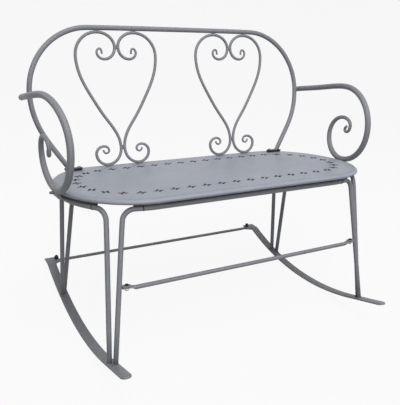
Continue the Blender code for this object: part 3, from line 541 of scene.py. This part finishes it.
# Packing strips
def rail_path(inset, turns):
    """Points along a rail, given as (side, first angle, last angle) turns of the seat's oval."""
    path = []
    for side, first, last in turns:
        for i in range(RAIL_STEPS + 1):
            angle = math.radians(first + (last - first) * i / RAIL_STEPS)
            path.append(oval_point(inset, angle, side))
    return path


def drawn_on(path, before, after):
    """A path with its two ends drawn on straight."""
    return (
        [path[0] + (path[0] - path[1]).normalized() * before]
        + path
        + [path[-1] + (path[-1] - path[-2]).normalized() * after]
    )


def packing_strip(name, path):
    """A black rubber strip between the rim's lip and a rail. Its black is partly painted shade for the gap
    under the rim.
    """
    bpy.ops.object.select_all(action="DESELECT")
    last = len(path) - 1
    bpy.ops.mesh.primitive_grid_add(x_subdivisions=last, y_subdivisions=1, size=2)
    obj = bpy.context.object
    obj.name = name
    low, high = RAIL_Z + TUBE_RADIUS, SEAT_TOP - RIM_DEPTH
    middle = Vector((0, 0, (low + high) / 2))
    for vert in obj.data.vertices:
        i = round((vert.co.x + 1) / 2 * last)
        ahead = path[min(i + 1, last)] - path[max(i - 1, 0)]
        across = Vector((-ahead.y, ahead.x, 0)).normalized()
        vert.co = path[i] + across * math.copysign(PACKING_WIDTH / 2, vert.co.y) + middle
    apply_modifier(obj, "SOLIDIFY", thickness=high - low + PACKING_SQUEEZE, offset=0.0)
    apply_modifier(
        obj,
        "BEVEL",
        width=PACKING_EDGE,
        segments=2,
        limit_method="ANGLE",
        angle_limit=PACKING_ANGLE,
    )
    bpy.ops.object.shade_smooth_by_angle(angle=SHEET_SMOOTH_ANGLE)
    lean_in(obj)
    # The strip's black stands partly for the shade under the rim: painted shade.
    hand_over(obj, SHADE_BLACK_RUBBER)


def add_packing():
    middle = NEARLY_MIDDLE
    front, rear = FRONT_RAIL_ANGLE, REAR_RAIL_ANGLE
    path = rail_path(FRONT_RAIL_INSET, ((-1, -front, -middle), (1, -middle, -front)))
    packing_strip("front_packing_strip", drawn_on(path, FRONT_PACKING_PAST, FRONT_PACKING_PAST))
    path = rail_path(REAR_RAIL_INSET, ((-1, rear, middle), (1, middle, rear)))
    packing_strip("rear_packing_strip", drawn_on(path, REAR_PACKING_PAST, REAR_PACKING_PAST))
    for hand, side in SIDES:
        path = rail_path(SIDE_RAIL_INSET, ((side, -SIDE_FRONT_ANGLE, SIDE_REAR_ANGLE),))
        path = drawn_on(path, SIDE_PACKING_PAST_FRONT, SIDE_PACKING_PAST_REAR)
        packing_strip(f"{hand}_packing_strip", path)


# The seat's crease and the petals' edges, both drawn dark as painted shade
def rosette_places():
    """The middles of the rosettes, evenly spaced along their oval, and the way it runs there."""
    loop = []
    for side, (first, last) in ((1, (-90, 90)), (-1, (90, -90))):
        for i in range(ROSETTE_STEPS + 1):
            angle = math.radians(first + (last - first) * i / ROSETTE_STEPS)
            bulge = (ROSETTE_HALF_WIDTH - ROSETTE_STRAIGHT) * math.cos(angle)
            deep = SEAT_MID_Y + ROSETTE_HALF_DEPTH * math.sin(angle)
            loop.append(Vector((side * (ROSETTE_STRAIGHT + bulge), deep, SEAT_TOP)))
    loop.append(loop[0])
    spans = [(b - a).length for a, b in zip(loop, loop[1:])]
    places = []
    for k in range(ROSETTE_COUNT):
        left = sum(spans) * (k + 0.5) / ROSETTE_COUNT
        i = 0
        while left > spans[i]:
            left -= spans[i]
            i += 1
        along = (loop[i + 1] - loop[i]).normalized()
        places.append((loop[i] + along * left, along))
    return places


def petal_rim():
    """Painted shade round one pierced petal's pressed edge: a thin dark diamond, drawn along X from the
    rosette's middle.
    """
    bpy.ops.object.select_all(action="DESELECT")
    bpy.ops.mesh.primitive_circle_add(vertices=4, radius=0.5)
    obj = bpy.context.object
    obj.scale = (PETAL_LENGTH + PETAL_RIM_LONGER, PETAL_WIDTH + PETAL_RIM_WIDER, 1)
    obj.location = (PETAL_START + PETAL_LENGTH / 2, 0, PETAL_RIM_LIFT)
    settle()
    open_all()
    bpy.ops.mesh.edge_face_add()
    bpy.ops.mesh.inset(thickness=PETAL_RIM_WIDTH)
    bpy.ops.mesh.delete(type="FACE")
    close_up()
    apply_modifier(obj, "SOLIDIFY", thickness=PETAL_RIM_THICKNESS, offset=0.0)
    return obj


def add_petal_rims():
    pattern = petal_rim()
    rims = []
    for middle, along in rosette_places():
        for quarter in range(4):
            turn = math.atan2(along.y, along.x) + math.pi * quarter / 2
            rim = pattern.copy()
            rim.data = pattern.data.copy()
            bpy.context.scene.collection.objects.link(rim)
            rim.data.transform(
                LEANING @ Matrix.Translation(middle) @ Matrix.Rotation(turn, 4, "Z")
            )
            rims.append(rim)
    bpy.data.objects.remove(pattern)
    pick(rims[0])
    for rim in rims:
        rim.select_set(True)
    bpy.ops.object.join()
    rims[0].name = "petal_rims"
    # The thin dark diamonds are painted shade round the petals' pressed edges.
    hand_over(rims[0], PETAL_SHADE_AND_SEAM)


def add_seat_crease():
    """The fine pressed line where the seat turns down into its rolled rim: a thin bead whose darker paint
    is painted shade in the crease.
    """
    bpy.ops.object.select_all(action="DESELECT")
    bpy.ops.mesh.primitive_circle_add(vertices=CREASE_POINTS, radius=1.0)
    obj = bpy.context.object
    obj.name = "seat_crease"
    height = Vector((0, 0, SEAT_TOP - CREASE_DEPTH))
    for vert in obj.data.vertices:
        angle = math.asin(max(-1.0, min(1.0, vert.co.y)))
        side = 1 if vert.co.x >= 0 else -1
        vert.co = oval_point(CREASE_INSET, angle, side) + height
    pick(obj)
    bpy.ops.object.convert(target="CURVE")
    obj.data.bevel_depth = CREASE_RADIUS
    obj.data.bevel_resolution = 2
    bpy.ops.object.convert(target="MESH")
    bpy.ops.object.shade_smooth()
    lean_in(obj)
    # The crease's darker paint is painted shade.
    hand_over(obj, WELD_AND_CREASE_SHADE_PAINT)


# Light, floor and camera
def add_softbox(name, place, aim, width, height, power, beam):
    lamp = bpy.data.lights.new(name, "AREA")
    lamp.shape = "RECTANGLE"
    lamp.size = width
    lamp.size_y = height
    lamp.energy = power
    lamp.spread = math.radians(beam)
    obj = bpy.data.objects.new(name, lamp)
    bpy.context.scene.collection.objects.link(obj)
    obj.location = place
    obj.rotation_euler = (Vector(aim) - Vector(place)).to_track_quat("-Z", "Y").to_euler()


def seen_directly(tree):
    """1 for what the camera sees, straight or in a reflection."""
    path = tree.nodes.new("ShaderNodeLightPath")
    total = path.outputs["Is Camera Ray"]
    for ray in ("Is Glossy Ray", "Is Transmission Ray"):
        add = tree.nodes.new("ShaderNodeMath")
        add.operation = "ADD"
        add.use_clamp = True
        tree.links.new(total, add.inputs[0])
        tree.links.new(path.outputs[ray], add.inputs[1])
        total = add.outputs["Value"]
    return total


def add_floor():
    """A pale floor: almost the backdrop's white where it is seen, and dark to the light it throws back."""
    bpy.ops.object.select_all(action="DESELECT")
    bpy.ops.mesh.primitive_plane_add(size=FLOOR_SIZE, location=(0, 0, 0))
    floor = bpy.context.object
    floor.name = "studio_floor"
    finish, tree, shader = new_finish("studio_floor_paint")
    shader.inputs["Base Color"].default_value = FLOOR_BOUNCE
    shader.inputs["Roughness"].default_value = 0.9
    shader.inputs["Specular IOR Level"].default_value = 0.0
    pale = tree.nodes.new("ShaderNodeBsdfDiffuse")
    pale.inputs["Color"].default_value = FLOOR_PALE
    white = tree.nodes.new("ShaderNodeEmission")
    white.inputs["Color"].default_value = FLOOR_GLOW
    mostly = tree.nodes.new("ShaderNodeMixShader")
    mostly.inputs["Fac"].default_value = FLOOR_GLOW_SHARE
    tree.links.new(pale.outputs["BSDF"], mostly.inputs[1])
    tree.links.new(white.outputs["Emission"], mostly.inputs[2])
    mix = tree.nodes.new("ShaderNodeMixShader")
    tree.links.new(seen_directly(tree), mix.inputs["Fac"])
    tree.links.new(shader.outputs["BSDF"], mix.inputs[1])
    tree.links.new(mostly.outputs["Shader"], mix.inputs[2])
    tree.links.new(mix.outputs["Shader"], tree.nodes["Material Output"].inputs["Surface"])
    floor.data.materials.append(finish)


def add_light():
    """The softboxes, and a dim room behind a backdrop that is white where it is seen."""
    for softbox in SOFTBOXES:
        add_softbox(*softbox)
    world = bpy.data.worlds.new("studio_world")
    bpy.context.scene.world = world
    world.use_nodes = True
    tree = world.node_tree
    tree.nodes.clear()
    out = tree.nodes.new("ShaderNodeOutputWorld")
    room = tree.nodes.new("ShaderNodeBackground")
    room.inputs["Color"].default_value = ROOM_COLOUR
    room.inputs["Strength"].default_value = ROOM_STRENGTH
    seen = tree.nodes.new("ShaderNodeBackground")
    seen.inputs["Color"].default_value = BACKDROP
    seen.inputs["Strength"].default_value = 1.0
    mix = tree.nodes.new("ShaderNodeMixShader")
    tree.links.new(seen_directly(tree), mix.inputs["Fac"])
    tree.links.new(room.outputs["Background"], mix.inputs[1])
    tree.links.new(seen.outputs["Background"], mix.inputs[2])
    tree.links.new(mix.outputs["Shader"], out.inputs["Surface"])


def add_camera():
    """The photograph's camera, drawn for a level seat and leaned with the bench."""
    level = math.cos(CAMERA_PITCH)
    ahead = Vector(
        (-math.sin(CAMERA_YAW) * level, math.cos(CAMERA_YAW) * level, -math.sin(CAMERA_PITCH))
    )
    right = Vector((math.cos(CAMERA_YAW), math.sin(CAMERA_YAW), 0))
    up = right.cross(ahead)
    place = Matrix((right, up, -ahead)).transposed().to_4x4()
    place.translation = CAMERA_PLACE
    lens = bpy.data.cameras.new("photo_camera")
    lens.sensor_fit = "HORIZONTAL"
    lens.sensor_width = CAMERA_SENSOR
    lens.lens = CAMERA_LENS
    lens.clip_end = 60
    camera = bpy.data.objects.new("photo_camera", lens)
    bpy.context.scene.collection.objects.link(camera)
    camera.matrix_world = LEANING @ place
    bpy.context.scene.camera = camera


dress_frame()
dress_seat()
dress_fasteners()
add_leg_welds()
add_back_welds()
add_joint_lines()
add_packing()
add_seat_crease()
add_petal_rims()
add_floor()
add_light()
add_camera()
bpy.context.scene.view_settings.view_transform = "Standard"
